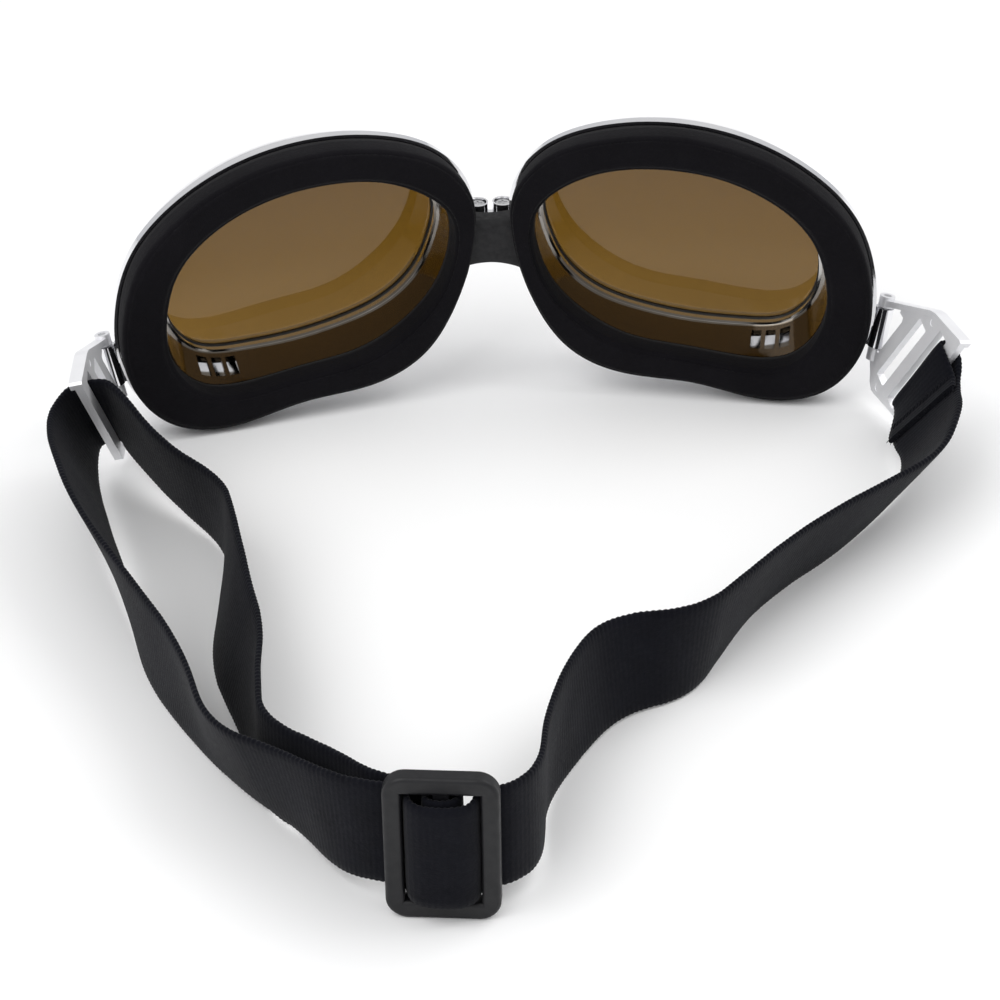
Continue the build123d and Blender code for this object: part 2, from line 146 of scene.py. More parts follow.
# The strap's free runs, close to those in part.py: x, y, z of the middle line in mm, and the x and y parts of
# the unit vector across the webbing.
RIGHT_RUN = [
    (100.4, -42.2, -35.4, 0.57, -0.28), (100.4, -54.8, -33.6, 0.42, -0.33), (93.7, -68.7, -36.2, 0.37, -0.46),
    (76, -86, -35.8, 0.3, -0.28), (57, -102, -35.6, 0.3, -0.24), (44, -119, -35.3, 0.2, -0.2),
    (33, -135, -34.9, 0.04, -0.1), (15, -138, -34.8, -0.1, 0.1), (6, -150, -34.8, -0.08, 0.1),
    (-3, -170, -34, 0.05, 0), (-5, -190, -31.5, 0, 0), (-12.2, -198.5, -30.3, 0, 0),
]
OUTER_LEG = [
    (-103.7, -46.1, -32.4, -0.41, -0.16), (-99.4, -69.8, -30.6, -0.41, -0.17),
    (-93.9, -88, -32.9, -0.33, -0.2), (-86, -116, -34.8, 0, 0), (-76, -139, -34.8, 0, -0.06),
    (-68, -162, -35, -0.28, -0.26), (-55, -175, -34, -0.18, -0.15), (-46, -189, -32, -0.05, 0),
    (-37.6, -195, -30.3, 0, 0),
]
INNER_LEG = [
    (-92.1, -35.4, -28.5, -0.07, -0.26), (-80.5, -54.7, -33.6, -0.12, -0.31),
    (-67.1, -71.1, -35.1, -0.05, -0.21), (-67, -88, -34.9, 0.15, 0), (-66.8, -113, -35.1, 0.38, 0.05),
    (-62.8, -133, -35.1, 0.3, 0.05), (-61, -150, -34.8, 0.05, 0), (-60, -166, -34.6, 0, 0),
    (-46, -179, -33.5, 0, 0), (-38, -191, -31, 0, 0), (-30.5, -194.2, -30.3, 0, 0),
    (-23.4, -196.7, -30.3, 0, 0),
]


# ---- Small helpers ----
def new_object(name, verts, faces, uvs=None, smooth=True):
    mesh = bpy.data.meshes.new(name)
    mesh.from_pydata([tuple(v) for v in verts], [], faces)
    mesh.validate()
    mesh.update()
    if smooth:
        mesh.shade_smooth()
    if uvs is not None:
        layer = mesh.uv_layers.new(name="Along")
        index = np.zeros(len(mesh.loops), np.int32)
        mesh.loops.foreach_get("vertex_index", index)
        layer.data.foreach_set("uv", np.asarray(uvs, np.float32)[index].ravel())
    obj = bpy.data.objects.new(name, mesh)
    bpy.context.scene.collection.objects.link(obj)
    return obj


def grid_faces(rows, columns, wrap_rows=False):
    """Quads of a closed tube of rows, where a vertex's number is row * columns + column."""
    faces = []
    for r in range(rows if wrap_rows else rows - 1):
        r2 = (r + 1) % rows
        for c in range(columns):
            c2 = (c + 1) % columns
            faces.append((r * columns + c, r * columns + c2, r2 * columns + c2, r2 * columns + c))
    return faces


# ---- Materials ----
class Nodes:
    """A short way to write a node tree."""

    def __init__(self, name):
        self.material = bpy.data.materials.new(name)
        self.material.use_nodes = True
        self.tree = self.material.node_tree
        self.shader = self.tree.nodes["Principled BSDF"]

    def add(self, kind, **settings):
        """A new node, with each setting on the input of that name, or else on the node itself."""
        node = self.tree.nodes.new(kind)
        for key, value in settings.items():
            socket = key.replace("_", " ")
            if socket in node.inputs:
                node.inputs[socket].default_value = value
            else:
                setattr(node, key, value)
        return node

    def link(self, a, b):
        self.tree.links.new(a, b)

    def set(self, **values):
        for key, value in values.items():
            self.shader.inputs[key.replace("_", " ")].default_value = value

    def scaled(self, vector, scale):
        node = self.add("ShaderNodeMapping", Scale=scale)
        self.link(vector, node.inputs["Vector"])
        return node.outputs["Vector"]

    def position(self, scale=(1, 1, 1)):
        return self.scaled(self.add("ShaderNodeTexCoord").outputs["Object"], scale)

    def along(self, scale):
        return self.scaled(self.add("ShaderNodeUVMap", uv_map="Along").outputs["UV"], scale)

    def noise(self, vector, scale, detail=4, rough=0.5):
        node = self.add("ShaderNodeTexNoise", Scale=scale, Detail=detail, Roughness=rough)
        self.link(vector, node.inputs["Vector"])
        return node.outputs["Fac"]

    def ramp(self, value, stops):
        node = self.add("ShaderNodeValToRGB")
        elements = node.color_ramp.elements
        while len(elements) < len(stops):
            elements.new(0.5)
        for element, (place, colour) in zip(elements, stops):
            element.position = place
            element.color = (*colour, 1)
        self.link(value, node.inputs["Fac"])
        return node.outputs["Color"]

    def spread(self, value, low, high, start, end):
        """The value, stretched so that start and end become low and high, and held between them."""
        node = self.add("ShaderNodeMapRange", From_Min=start, From_Max=end, To_Min=low, To_Max=high)
        self.link(value, node.inputs["Value"])
        return node.outputs["Result"]

    def math(self, operation, a, b):
        node = self.add("ShaderNodeMath", operation=operation)
        for value, socket in ((a, node.inputs[0]), (b, node.inputs[1])):
            if isinstance(value, (int, float)):
                socket.default_value = value
            else:
                self.link(value, socket)
        return node.outputs[0]

    def bump(self, height, strength, distance, below=None):
        node = self.add("ShaderNodeBump", Strength=strength, Distance=distance)
        self.link(height, node.inputs["Height"])
        if below is not None:
            self.link(below, node.inputs["Normal"])
        return node.outputs["Normal"]

    def to(self, **sockets):
        for key, value in sockets.items():
            self.link(value, self.shader.inputs[key.replace("_", " ")])

    def mottle(self, pattern, dark, light, start=0.3, end=0.7):
        """A base colour that wanders between two tones."""
        self.to(Base_Color=self.ramp(pattern, [(start, dark), (end, light)]))

    def polish(self, pattern, low, high, start=0.3, end=0.7):
        """A roughness that wanders between two values."""
        self.to(Roughness=self.spread(pattern, low, high, start, end))


def chrome_material():
    n = Nodes("chrome_plating")
    where = n.position()
    n.set(Metallic=1)
    n.mottle(n.noise(where, 60, 6, 0.6), (0.80, 0.80, 0.82), (0.92, 0.92, 0.93))
    n.polish(n.noise(where, 420, 5, 0.65), 0.03, 0.11, 0.35, 0.75)
    wave = n.bump(n.noise(where, 90, 2, 0.4), 0.12, 0.3 * MM)
    n.to(Normal=n.bump(n.noise(where, 1400, 3, 0.5), 0.05, 0.05 * MM, wave))
    return n.material


def liner_material():
    """Plating with a painted reflection: dark bronze stands in for the brown lens and black foam it mirrors,
    with a bright lip where the liner meets the lens.
    """
    n = Nodes("smoked_plating")
    where = n.position()
    n.set(Metallic=1)
    split = n.add("ShaderNodeSeparateXYZ")
    n.link(where, split.inputs["Vector"])
    side = n.math("MULTIPLY", n.math("ABSOLUTE", split.outputs["X"], 0), math.sin(WRAP))
    depth = n.math("ADD", side, n.math("MULTIPLY", split.outputs["Y"], math.cos(WRAP)))
    reflection_edge_wander = n.spread(n.noise(where, 60, 6, 0.6), -0.1, 0.1, 0.3, 0.7)
    share = n.math("ADD", n.spread(depth, 0, 1, LINER_LIP - 0.3 * MM, LINER_LIP + 0.1 * MM), reflection_edge_wander)
    # Painted reflection: dark bronze behind the lip, plain bright plating from the lip to the lens.
    n.mottle(share, (0.19, 0.165, 0.135), (0.9, 0.9, 0.9), 0.15, 0.85)
    n.polish(n.noise(where, 420, 5, 0.65), 0.05, 0.14, 0.35, 0.75)
    n.to(Normal=n.bump(n.noise(where, 90, 2, 0.4), 0.12, 0.3 * MM))
    return n.material


def satin_material():
    n = Nodes("satin_plating")
    where = n.position()
    n.set(Metallic=0.4)
    n.mottle(n.noise(where, 60, 5, 0.6), (0.82, 0.82, 0.84), (0.90, 0.90, 0.92))
    n.polish(n.noise(where, 500, 5, 0.65), 0.34, 0.44, 0.35, 0.75)
    n.to(Normal=n.bump(n.noise(where, 1800, 3, 0.5), 0.08, 0.05 * MM))
    return n.material


def steel_material(name, roughness):
    n = Nodes(name)
    where = n.position((1, 1, 6))
    n.set(Metallic=1)
    n.mottle(n.noise(where, 300, 4), (0.50, 0.50, 0.51), (0.66, 0.66, 0.67))
    n.polish(n.noise(where, 900, 4), roughness - 0.06, roughness + 0.08)
    n.to(Normal=n.bump(n.noise(where, 2500, 2), 0.15, 0.03 * MM))
    return n.material


def lens_material():
    n = Nodes("lens_tint")
    where = n.position()
    n.set(Transmission_Weight=1, IOR=1.49, Specular_IOR_Level=0.15)
    split = n.add("ShaderNodeSeparateXYZ")
    n.link(where, split.inputs["Vector"])
    drift = n.spread(n.noise(where, 9, 2), -2 * MM, 2 * MM, 0.3, 0.7)
    height = n.math("ADD", split.outputs["Z"], drift)
    share = n.spread(height, 0, 1, LENS_LOW, LENS_HIGH)
    tints = [(0.1, (0.20, 0.115, 0.030)), (0.5, (0.135, 0.071, 0.0105)), (0.95, (0.10, 0.050, 0.006))]
    n.to(Base_Color=n.ramp(share, tints))
    n.polish(n.noise(where, 300, 6, 0.7), 0.0, 0.012, 0.5, 0.85)
    return n.material


def rubber_material(name, colour, roughness):
    n = Nodes(name)
    where = n.position()
    light = tuple(1.6 * c for c in colour)
    n.mottle(n.noise(where, 250, 5), colour, light, end=0.75)
    n.polish(n.noise(where, 700, 4), roughness - 0.1, roughness + 0.1)
    n.to(Normal=n.bump(n.noise(where, 3000, 4), 0.25, 0.06 * MM))
    return n.material


def foam_material():
    n = Nodes("foam_cover")
    where = n.position()
    n.set(Sheen_Weight=0.04, Sheen_Roughness=0.5, Specular_IOR_Level=0.08)
    n.mottle(n.noise(where, 55, 5, 0.6), (0.0042, 0.0038, 0.0050), (0.0066, 0.0060, 0.0078))
    n.polish(n.noise(where, 900, 4), 0.85, 0.98)
    nap = n.add("ShaderNodeTexVoronoi", Scale=2600)
    n.link(where, nap.inputs["Vector"])
    fibre = n.bump(nap.outputs["Distance"], 0.5, 0.12 * MM)
    n.to(Normal=n.bump(n.noise(where, 700, 5, 0.7), 0.3, 0.2 * MM, fibre))
    return n.material


def webbing_material():
    n = Nodes("webbing")
    n.set(Sheen_Weight=0.05, Sheen_Roughness=0.5, Specular_IOR_Level=0.1)
    where = n.position()
    n.mottle(n.noise(where, 120, 5, 0.65), (0.0024, 0.0026, 0.0048), (0.0042, 0.0046, 0.0080))
    n.polish(n.noise(where, 1100, 4), 0.78, 0.95)
    warp = n.add("ShaderNodeTexWave", wave_type="BANDS", bands_direction="Y", wave_profile="SIN",
                 Scale=1 / (0.9 * MM) / 20, Distortion=0.6, Detail_Scale=60)
    n.link(n.along((20, 20, 20)), warp.inputs["Vector"])
    thread = n.add("ShaderNodeTexVoronoi", Scale=1)
    n.link(n.along((2200, 3000, 1)), thread.inputs["Vector"])
    ribs = n.bump(warp.outputs["Fac"], 0.2, 0.08 * MM)
    fibre = n.bump(thread.outputs["Distance"], 0.45, 0.08 * MM, ribs)
    n.to(Normal=n.bump(n.noise(where, 2600, 4, 0.7), 0.35, 0.08 * MM, fibre))
    return n.material


def plastic_material():
    n = Nodes("slider_plastic")
    where = n.position()
    n.set(Coat_Weight=0.08, Coat_Roughness=0.3, Specular_IOR_Level=0.35)
    n.mottle(n.noise(where, 160, 5), (0.0030, 0.0030, 0.0042), (0.0050, 0.0050, 0.0066))
    n.polish(n.noise(where, 500, 5), 0.42, 0.6)
    n.to(Normal=n.bump(n.noise(where, 2200, 5, 0.7), 0.22, 0.06 * MM))
    return n.material


MATERIALS = {
    "chrome_plating": chrome_material(),
    "satin_plating": satin_material(),
    "liner": liner_material(),
    "lens_tint": lens_material(),
    "gasket_rubber": rubber_material("gasket_rubber", (0.0035, 0.0035, 0.0035), 0.42),
    "foam_cover": foam_material(),
    "screw_steel": steel_material("screw_steel", 0.22),
    "pin_steel": steel_material("pin_steel", 0.28),
    "bridge_rubber": rubber_material("bridge_rubber", (0.0042, 0.004, 0.005), 0.7),
    "webbing": webbing_material(),
    "slider_plastic": plastic_material(),
}


def dress_cad_nodes():
    """Give every CAD node its material. The liners have one of their own within the chrome slot."""
    for part in frame["record"]["subparts"]:
        node = frame["nodes"][part["node"]]
        node.data.materials.clear()
        look = "liner" if part["node"].startswith("liner") else part["material_slot"]
        node.data.materials.append(MATERIALS[look])


def finish_piece(obj, slot):
    obj.data.materials.append(MATERIALS[slot])
    return obj


# ---- Camera, floor and light ----
def make_camera():
    a, e = CAMERA_AZIMUTH, CAMERA_ELEVATION
    back = Vector((math.sin(a) * math.cos(e), -math.cos(a) * math.cos(e), math.sin(e)))
    right = Vector((math.cos(a), math.sin(a), 0))
    up = back.cross(right)
    c, s = math.cos(CAMERA_ROLL), math.sin(CAMERA_ROLL)
    columns = (right * c - up * s, right * s + up * c, back)
    matrix = Matrix(columns).transposed().to_4x4()
    matrix.translation = CAMERA_TARGET + back * CAMERA_DISTANCE
    data = bpy.data.cameras.new("camera")
    data.lens = CAMERA_LENS
    data.sensor_width = CAMERA_SENSOR
    data.clip_start = 0.01
    camera = bpy.data.objects.new("camera", data)
    camera.matrix_world = matrix
    bpy.context.scene.collection.objects.link(camera)
    bpy.context.scene.camera = camera


def make_stage():
    n = Nodes("table")
    n.set(Roughness=0.5, Specular_IOR_Level=0.3)
    n.mottle(n.noise(n.position(), 3, 2), (0.955, 0.955, 0.96), (0.975, 0.975, 0.975))
    corners = [(x * FLOOR_HALF, y * FLOOR_HALF, FLOOR) for x, y in ((-1, -1), (1, -1), (1, 1), (-1, 1))]
    floor = new_object("table_top", corners, [(0, 1, 2, 3)], smooth=False)
    floor.data.materials.append(n.material)


def area_light(name, place, target, size, power):
    data = bpy.data.lights.new(name, "AREA")
    data.energy = power
    data.size = size
    light = bpy.data.objects.new(name, data)
    light.location = place
    light.rotation_euler = (Vector(target) - Vector(place)).to_track_quat("-Z", "Y").to_euler()
    bpy.context.scene.collection.objects.link(light)


def make_light():
    world = bpy.data.worlds.new("studio")
    world.use_nodes = True
    tree = world.node_tree
    back = tree.nodes["Background"]
    where = tree.nodes.new("ShaderNodeTexCoord")
    split = tree.nodes.new("ShaderNodeSeparateXYZ")
    ramp = tree.nodes.new("ShaderNodeValToRGB")
    tree.links.new(where.outputs["Generated"], split.inputs["Vector"])
    tree.links.new(split.outputs["Z"], ramp.inputs["Fac"])
    ramp.color_ramp.elements[0].position = 0.0
    ramp.color_ramp.elements[0].color = (0.78, 0.79, 0.82, 1)
    ramp.color_ramp.elements[1].position = 0.6
    ramp.color_ramp.elements[1].color = (1, 1, 1, 1)
    tree.links.new(ramp.outputs["Color"], back.inputs["Color"])
    back.inputs["Strength"].default_value = 0.75
    bpy.context.scene.world = world
    area_light("key", (-0.7, -0.6, 1.0), (0, -0.08, 0), size=1.0, power=8)
    area_light("fill", (0.9, 0.1, 1.0), (0, -0.05, 0), size=1.0, power=6)
    bpy.context.scene.view_settings.view_transform = "Standard"


# ---- Strap ----
def nurbs_points(points):
    """Points along the smooth curve that the given control points steer."""
    curve = bpy.data.curves.new("route", "CURVE")
    curve.dimensions = "3D"
    spline = curve.splines.new("NURBS")
    spline.points.add(len(points) - 1)
    for point, place in zip(spline.points, points):
        point.co = (*place, 1)
    spline.order_u = 3
    spline.use_endpoint_u = True
    spline.resolution_u = 24
    holder = bpy.data.objects.new("route", curve)
    mesh = bpy.data.meshes.new_from_object(holder)
    line = np.array([v.co for v in mesh.vertices], float)
    bpy.data.meshes.remove(mesh)
    bpy.data.objects.remove(holder)
    bpy.data.curves.remove(curve)
    return line


class Route:
    """A strap's middle line, with the unit vector across it, read at any distance along.

    Its rows are pairs of a control point and the direction across the webbing there.
    """

    def __init__(self, rows):
        self.line = nurbs_points([point for point, width in rows])
        self.edge = nurbs_points([point + width.normalized() * STRAP_WIDTH / 2 for point, width in rows])
        steps = np.linalg.norm(np.diff(self.line, axis=0), axis=1)
        self.at = np.concatenate([[0], np.cumsum(steps)])
        self.length = float(self.at[-1])

    def read(self, distances):
        """Middle points, width vectors and normals at the given distances."""
        def pick(values):
            return np.stack([np.interp(distances, self.at, values[:, k]) for k in range(3)], axis=1)
        middle = pick(self.line)
        across = pick(self.edge) - middle
        across /= np.linalg.norm(across, axis=1)[:, None]
        along = pick(self.line + np.gradient(self.line, self.at, axis=0)) - middle
        normal = np.cross(along, across)
        normal /= np.linalg.norm(normal, axis=1)[:, None]
        return middle, across, normal

    def nearest(self, point):
        """The distance along at which the route comes nearest to a point."""
        return float(self.at[np.argmin(np.linalg.norm(self.line - np.array(point), axis=1))])


def band_outline():
    """The webbing's section: (place across from -1 to 1, side from -1 to 1), once round."""
    flat = [-0.975 + 1.95 * i / BAND_COLUMNS for i in range(BAND_COLUMNS + 1)]
    outline = [(t, 1.0) for t in flat]
    outline += [(0.995, 0.55), (1.0, 0.0), (0.995, -0.55)]
    outline += [(-t, -1.0) for t in flat]
    outline += [(-0.995, -0.55), (-1.0, 0.0), (-0.995, 0.55)]
    return outline


def band_mesh(name, route, start, end):
    """A ribbed band of webbing with scalloped selvedges, along part of a route."""
    steps = max(8, round((end - start) / (RIB_PITCH / RIB_STEPS)))
    distances = np.linspace(start, end, steps + 1)
    middle, across, normal = route.read(distances)
    outline = band_outline()
    half_w = STRAP_WIDTH / 2
    verts = []
    uvs = []
    for i, s in enumerate(distances):
        rib = math.cos(2 * math.pi * s / RIB_PITCH)
        for t, side in outline:
            edge = abs(t) ** 12
            wide = t * (half_w - SCALLOP * edge * (1 - rib) / 2)
            wide += WAVER * edge * noise.noise(Vector((s * 300, t * 3, 1.7)))
            deep = side * STRAP_THICK / 2 * (1 - 0.25 * edge)
            deep += side * RIB_DEPTH * rib
            deep += WAVER * noise.noise(Vector((s * 90, t * 1.5, 4.1)))
            verts.append(Vector(middle[i]) + Vector(across[i]) * wide + Vector(normal[i]) * deep)
            uvs.append((s, t * half_w))
    count = len(outline)
    last = (len(distances) - 1) * count
    faces = grid_faces(len(distances), count)
    faces.append(tuple(range(count - 1, -1, -1)))
    faces.append(tuple(last + k for k in range(count)))
    band = new_object(name, verts, faces, uvs)
    sharpen(band, lambda k: k < count or k >= last)
    return band


def sharpen(obj, chosen):
    """Mark the edges between chosen vertices as sharp, so that cut ends don't bend the shading."""
    mesh = obj.data
    sharp = mesh.attributes.get("sharp_edge") or mesh.attributes.new("sharp_edge", "BOOLEAN", "EDGE")
    values = [chosen(edge.vertices[0]) and chosen(edge.vertices[1]) for edge in mesh.edges]
    sharp.data.foreach_set("value", values)


def strap_piece(name, route, start, end, cad_nodes, blend_from=None, blend_to=None):
    """One stretch of the strap, which replaces its CAD solids.

    blend_from and blend_to are not used.
    """
    piece = finish_piece(band_mesh(name, route, start, end), "webbing")
    ends = route.read(np.array([start if blend_from is None else blend_from,
                                end if blend_to is None else blend_to]))[0]
    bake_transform(piece)
    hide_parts(*cad_nodes)


def bracket_frame(side, swing):
    """Origin at the pin, then the vectors across the slots, along them and square to the web."""
    pin = Vector((math.tan(HINGE_LEAN), math.tan(HINGE_PITCH), 1)).normalized()
    outward = (Vector((1, 0, 0)) - pin * pin.x).normalized()
    plate = outward * math.cos(swing) - pin.cross(outward) * math.sin(swing)
    along = pin * math.cos(SLOT_TILT) + plate * math.sin(SLOT_TILT)
    across = plate * math.cos(SLOT_TILT) - pin * math.sin(SLOT_TILT)
    facing = across.cross(along)
    turn = Matrix.Rotation(-WRAP, 3, "Z")
    flip = Matrix.Diagonal((-1 if side == "left" else 1, 1, 1))
    return [flip @ turn @ v for v in (HINGE, across, along, facing)]


def on_bracket(side, swing, places):
    """Route rows at (across, off the web) places on a bracket, with the webbing lying along the slots."""
    origin, across, along, facing = bracket_frame(side, swing)
    return [(origin + across * g * MM + along * STRAP_MID + facing * h * MM, along) for g, h in places]


def in_slider(places):
    """Route rows at (x, y) places in the slider, with the webbing upright."""
    turn = Matrix.Rotation(SLIDER_TURN, 3, "Z")
    return [(SLIDER + turn @ Vector((x, y, 0)) * MM, Vector((0, 0, 1))) for x, y in places]


def free_rows(rows):
    """Route rows from the lists of points above."""
    return [(Vector((x, y, z)) * MM, Vector((wx, wy, math.sqrt(1 - wx * wx - wy * wy))))
            for x, y, z, wx, wy in rows]


def tail_rows(turn, run):
    """Route rows of the sewn tail, from its cut end. It lies on the side of the run that the web faces."""
    body = Route(turn[-2:] + run)
    bar = body.nearest(turn[-1][0])
    facing = bracket_frame("right", SWING_RIGHT)[3]
    rows = []
    for point, width, out in zip(*body.read(np.linspace(bar + TAIL_LENGTH, bar + TAIL_START, 3))):
        out = Vector(out)
        out *= -1 if out.dot(facing) < 0 else 1
        rows.append((Vector(point) + out * (STRAP_THICK + TAIL_GAP), Vector(width)))
    return rows


def make_right_strap():
    """From the sewn tail, round the right bracket's outer bar and along the free run into the slider."""
    turn = on_bracket("right", SWING_RIGHT, [
        (22.6, 1.95), (19.45, 2.05), (19.45, -2.05), (22.3, -1.85), (24.9, -1.9)])
    run = free_rows(RIGHT_RUN)
    route = Route(tail_rows(turn, run) + turn + run + in_slider([(7.3, 3.4), (6.75, 0.05)]))
    bar = route.nearest(turn[-1][0])
    half = bar + RIGHT_FRONT
    strap_piece("strap_right_front", route, 0, half,
                ["strap_right_run", "strap_loop_right"], blend_from=bar)
    near = route.length - SLIDER_REACH
    strap_piece("strap_right_back", route, half, near, ["strap_right_run"])
    strap_piece("strap_right_slider", route, near, route.length, ["strap_slider_wrap"])
    ends = [Vector(point) for point in route.read(np.array([bar, half]))[0]]
    make_seam("seam_right", route)
    make_fray("fray_right", route)


def make_left_strap():
    """From the slider along the outer leg, through the left bracket's slot and back along the inner leg."""
    turn = on_bracket("left", SWING_LEFT, [(20.6, -5.2), (19.45, -1.6), (19.3, 1.4)])
    outer = free_rows(OUTER_LEG)
    inner = free_rows(INNER_LEG)
    into_slider = in_slider([(-6.75, 0.05), (-7.3, 3.4)])
    round_bar = in_slider([(1.0, 3.5), (3.6, 3.4), (3.3, -2.0), (-3.2, -2.0), (-3.2, 2.0), (0.6, 2.05)])
    route = Route(into_slider + outer[::-1] + turn + inner[:-1] + round_bar)
    middle = route.nearest(turn[1][0])
    outer_cut = middle - LEFT_FRONT
    inner_cut = middle + LEFT_FRONT
    near = SLIDER_REACH
    far = route.nearest(round_bar[0][0]) - SLIDER_REACH
    strap_piece("strap_outer_front", route, outer_cut, middle, ["strap_outer_leg", "strap_loop_left"],
                blend_from=middle - TURN_REACH, blend_to=outer_cut)
    strap_piece("strap_inner_front", route, middle, inner_cut, ["strap_inner_leg"],
                blend_from=middle + TURN_REACH)
    strap_piece("strap_outer_back", route, near, outer_cut, ["strap_outer_leg"])
    strap_piece("strap_inner_back", route, inner_cut, far, ["strap_inner_leg"])
    strap_piece("strap_outer_slider", route, 0, near, ["strap_slider_wrap"])
    strap_piece("strap_inner_slider", route, far, route.length, ["strap_slider_loop"],
                blend_to=far + SLIDER_REACH)


def make_slider_strap():
    """The stretch of the strap's running part that passes over the slider's middle bar."""
    route = Route(in_slider([(-6.75, 0.05), (-6.2, -3.3), (0, -4.5), (6.2, -3.3), (6.75, 0.05)]))
    piece = finish_piece(band_mesh("strap_over_bar", route, 0, route.length), "webbing")
    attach(piece, "slider")
    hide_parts("strap_slider_wrap")


def tube(points, radius):
    """Vertices and faces of a thin tapered thread through some points."""
    verts = []
    for i, point in enumerate(points):
        ahead = points[min(i + 1, len(points) - 1)] - points[max(i - 1, 0)]
        side = ahead.orthogonal().normalized()
        other = ahead.cross(side).normalized()
        share = i / (len(points) - 1)
        r = radius * (1 - 0.6 * abs(2 * share - 1) ** 3)
        for k in range(THREAD_SIDES):
            a = 2 * math.pi * k / THREAD_SIDES
            verts.append(point + (side * math.cos(a) + other * math.sin(a)) * r)
    faces = grid_faces(len(points), THREAD_SIDES)
    faces.append(tuple(range(THREAD_SIDES - 1, -1, -1)))
    faces.append(tuple(len(verts) - THREAD_SIDES + k for k in range(THREAD_SIDES)))
    return verts, faces


def threads_object(name, threads, radius):
    verts = []
    faces = []
    for points in threads:
        v, f = tube(points, radius)
        faces += [tuple(k + len(verts) for k in face) for face in f]
        verts += v
    return new_object(name, verts, faces)


def make_seam(name, route):
    """The zigzag of thread that holds the strap's folded tail to its run, near the cut end."""
    middle, across, normal = route.read(np.array([SEAM_PLACE, SEAM_PLACE + SEAM_DEPTH]))
    near, far = Vector(middle[0]), Vector(middle[1])
    width, out = Vector(across[0]), Vector(normal[0])
    threads = []
    for k in range(SEAM_STITCHES):
        places = []
        for j in range(STITCH_STEPS + 1):
            step = j / STITCH_STEPS
            t = (k + step) / SEAM_STITCHES * 2 - 1
            zig = step if k % 2 else 1 - step
            point = near * (1 - zig) + far * zig
            lift = STRAP_THICK / 2 + STITCH_ARCH * math.sin(math.pi * step)
            places.append(point + width * t * (STRAP_WIDTH / 2 - SEAM_MARGIN) + out * SEAM_SIDE * lift)
        threads.append(places)
    seam = finish_piece(threads_object(name, threads, STITCH_RADIUS), "webbing")
    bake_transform(seam)


def make_fray(name, route):
    """Short loose threads along the tail's cut end."""
    rng = random.Random(7)
    middle, across, normal = route.read(np.array([0.0, 1 * MM]))
    away = (Vector(middle[0]) - Vector(middle[1])).normalized()
    width, out = Vector(across[0]), Vector(normal[0])
    threads = []
    for _ in range(FRAY_THREADS):
        t = rng.uniform(-1, 1)
        length = rng.uniform(0.4, 1.3) * MM * (1.8 if abs(t) > 0.9 else 1)
        bend = width * rng.uniform(-0.6, 0.6) + out * rng.uniform(-0.5, 0.5)
        root = Vector(middle[0]) + width * t * STRAP_WIDTH * 0.495
        root += out * rng.uniform(-0.44, 0.44) * STRAP_THICK - away * 0.4 * MM
        threads.append([root + away * length * u + bend * length * u * u for u in (0, 0.35, 0.7, 1.0)])
    fray = finish_piece(threads_object(name, threads, FRAY_RADIUS), "webbing")
    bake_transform(fray)


# ---- Foam face pads and the nose bridge ----
def pad_loops(side):
    """The outer and inner outlines of a foam pad's rear face, each as points in even steps."""
    sign = 1 if side == "right" else -1
    facing = Vector((sign * math.sin(WRAP), math.cos(WRAP), 0))
    bm = bmesh.new()
    bm.from_mesh(frame["nodes"][f"foam_pad_{side}"].data)
    bmesh.ops.remove_doubles(bm, verts=bm.verts, dist=1e-6)
    flat = {face for face in bm.faces if abs(face.normal.dot(facing)) > 0.99
            and abs(face.calc_center_median().dot(facing)) < 0.5 * MM}
    links = {}
    for edge in bm.edges:
        if sum(f in flat for f in edge.link_faces) == 1:
            for vert in edge.verts:
                links.setdefault(vert.index, []).append(edge.other_vert(vert).index)
    bm.verts.ensure_lookup_table()
    places = {k: bm.verts[k].co.copy() for k in links}
    bm.free()
    loops = []
    while links:
        first = next(iter(links))
        loop = [first]
        here, before = links[first][0], first
        while here != first:
            loop.append(here)
            near = links[here]
            here, before = (near[0] if near[1] == before else near[1]), here
        for k in loop:
            links.pop(k)
        loops.append([places[k] for k in loop])
    loops = [even_loop(loop, facing) for loop in loops]
    return sorted(loops, key=lambda loop: -np.ptp(np.array(loop)[:, 2])), facing


def even_loop(points, facing):
    """A closed outline in even steps, turning one way, from its point nearest to the nose."""
    points = np.array(points)
    centre = points.mean(axis=0)
    spokes = points - centre
    area = np.cross(spokes, np.roll(spokes, -1, 0)).sum(axis=0) @ np.array(facing)
    if area < 0:
        points = points[::-1]
    points = np.roll(points, -int(np.argmin(np.abs(points[:, 0]))), axis=0)
    closed = np.vstack([points, points[:1]])
    at = np.concatenate([[0], np.cumsum(np.linalg.norm(np.diff(closed, axis=0), axis=1))])
    places = np.linspace(0, at[-1], PAD_STEPS, endpoint=False)
    even = np.stack([np.interp(places, at, closed[:, k]) for k in range(3)], axis=1)
    for _ in range(2):
        even = (np.roll(even, 1, 0) + 2 * even + np.roll(even, -1, 0)) / 4
    return even


def pad_profile():
    """The pad's section, from its outer front edge over the rear face to its inner front edge.

    Each row holds the share of the way from the outer outline to the inner one, how far the row stands
    beyond that outline, and its depth.
    """
    edge = [(0, PAD_THICK), (0.15 * MM, PAD_THICK * 0.75), (0.2 * MM, PAD_THICK * 0.45)]
    edge += [(0.1 * MM - PAD_ROUND * (1 - math.cos(a)), PAD_ROUND * (1 - math.sin(a))) for a in PAD_TURN]
    rows = [(0, reach, depth) for reach, depth in edge]
    rows += [(k / 10, 0, 0) for k in range(1, 10)]
    rows += [(1, reach, depth) for reach, depth in edge[::-1]]
    return rows


def outline_normals(loop, facing):
    """Unit vectors square to an outline, in the plane of the pad's rear face."""
    along = np.roll(loop, -1, 0) - np.roll(loop, 1, 0)
    out = np.cross(along, np.array(facing))
    return out / np.linalg.norm(out, axis=1)[:, None]


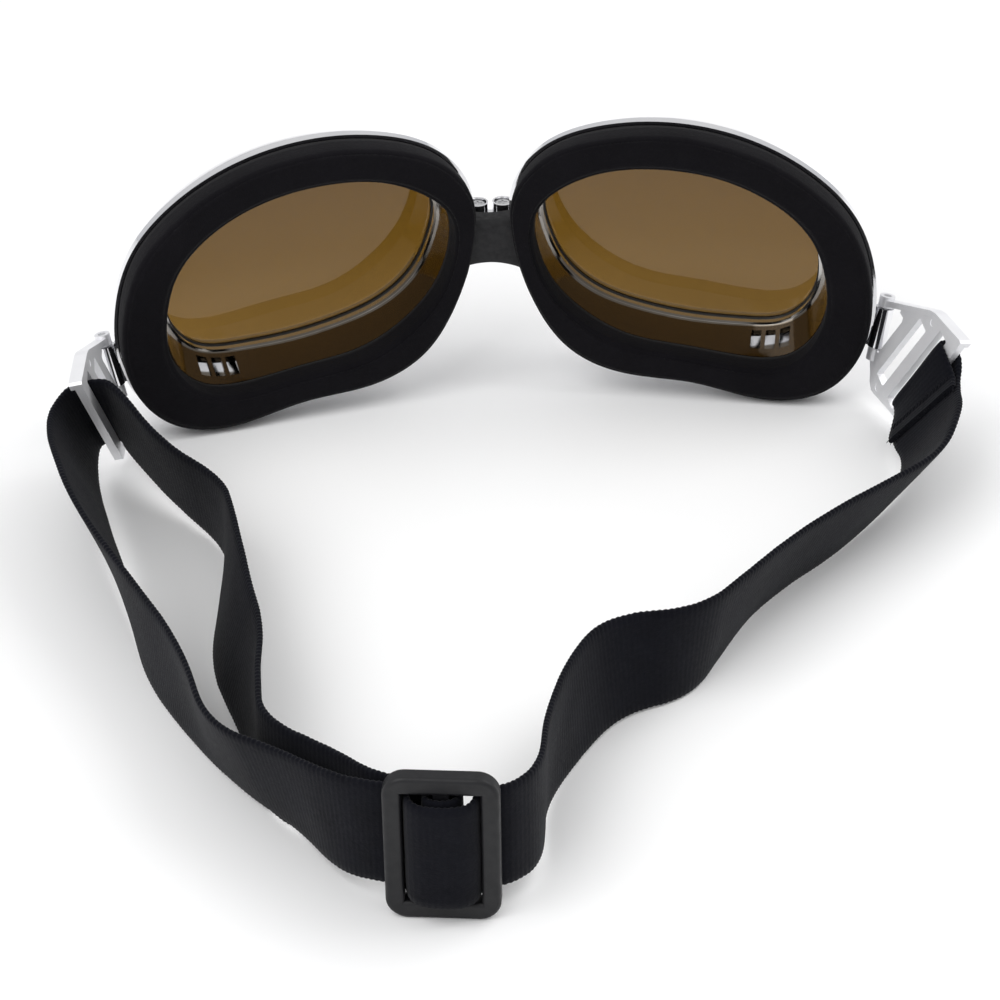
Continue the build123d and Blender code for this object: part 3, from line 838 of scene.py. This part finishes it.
def make_pad(side):
    (outer, inner), facing = pad_loops(side)
    outward = {0: outline_normals(outer, facing), 1: -outline_normals(inner, facing)}
    verts = []
    profile = pad_profile()
    for share, reach, depth in profile:
        on_edge = share in (0, 1)
        for i in range(PAD_STEPS):
            a, b = Vector(outer[i]), Vector(inner[i])
            place = a.lerp(b, share)
            if on_edge:
                place += Vector(outward[share][i]) * reach
            crown = 0 if on_edge else PAD_CROWN * math.sin(math.pi * share) ** 0.6
            soft = 0.22 * MM * noise.noise(place * 70) + 0.07 * MM * noise.noise(place * 420)
            deep = depth - crown
            if depth < PAD_THICK * 0.9:
                deep += soft
                if on_edge:
                    place += (a - b).normalized() * soft * (1 - 2 * share)
            verts.append(place + facing * deep)
    faces = grid_faces(len(profile), PAD_STEPS, wrap_rows=True)
    pad = new_object(f"face_pad_{side}", verts, faces)
    fix_normals(pad)
    finish_piece(pad, "foam_cover")
    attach(pad, f"{side}_cup")
    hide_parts(f"foam_pad_{side}")


def fix_normals(obj):
    """Turn all faces outward."""
    bm = bmesh.new()
    bm.from_mesh(obj.data)
    bmesh.ops.recalc_face_normals(bm, faces=bm.faces)
    bm.to_mesh(obj.data)
    bm.free()


def squared(value):
    """A sine or cosine, pushed out towards 1 or -1."""
    return math.copysign(abs(value) ** NOSE_SQUARE, value)


def make_nose_bridge():
    """The soft block between the pads: waisted in the middle, with an arched lower edge."""
    columns = 24
    around = 40
    verts = []
    for c in range(columns + 1):
        t = 2 * c / columns - 1
        middle = 1 - t * t
        low = NOSE_LOW + NOSE_ARCH * middle - NOSE_TILT * t
        high = NOSE_HIGH - NOSE_DIP * middle
        rear = NOSE_REAR + NOSE_WAIST * middle
        for k in range(around):
            a = 2 * math.pi * k / around
            y = (rear + NOSE_FRONT) / 2 + squared(math.cos(a)) * (NOSE_FRONT - rear) / 2
            z = (low + high) / 2 + squared(math.sin(a)) * (high - low) / 2
            place = Vector((t * NOSE_HALF, y, z))
            verts.append(place + Vector((0, 1, 1)) * 0.12 * MM * noise.noise(place * 160))
    faces = grid_faces(columns + 1, around)
    faces.append(tuple(range(around - 1, -1, -1)))
    faces.append(tuple(columns * around + k for k in range(around)))
    block = new_object("nose_bridge", verts, faces)
    fix_normals(block)
    finish_piece(block, "bridge_rubber")
    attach(block, "bridge")
    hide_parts("nose_bridge_pad")


# ---- Put together ----
make_camera()
make_stage()
make_light()
dress_cad_nodes()
make_right_strap()
make_left_strap()
make_slider_strap()
for side in ("right", "left"):
    make_pad(side)
make_nose_bridge()
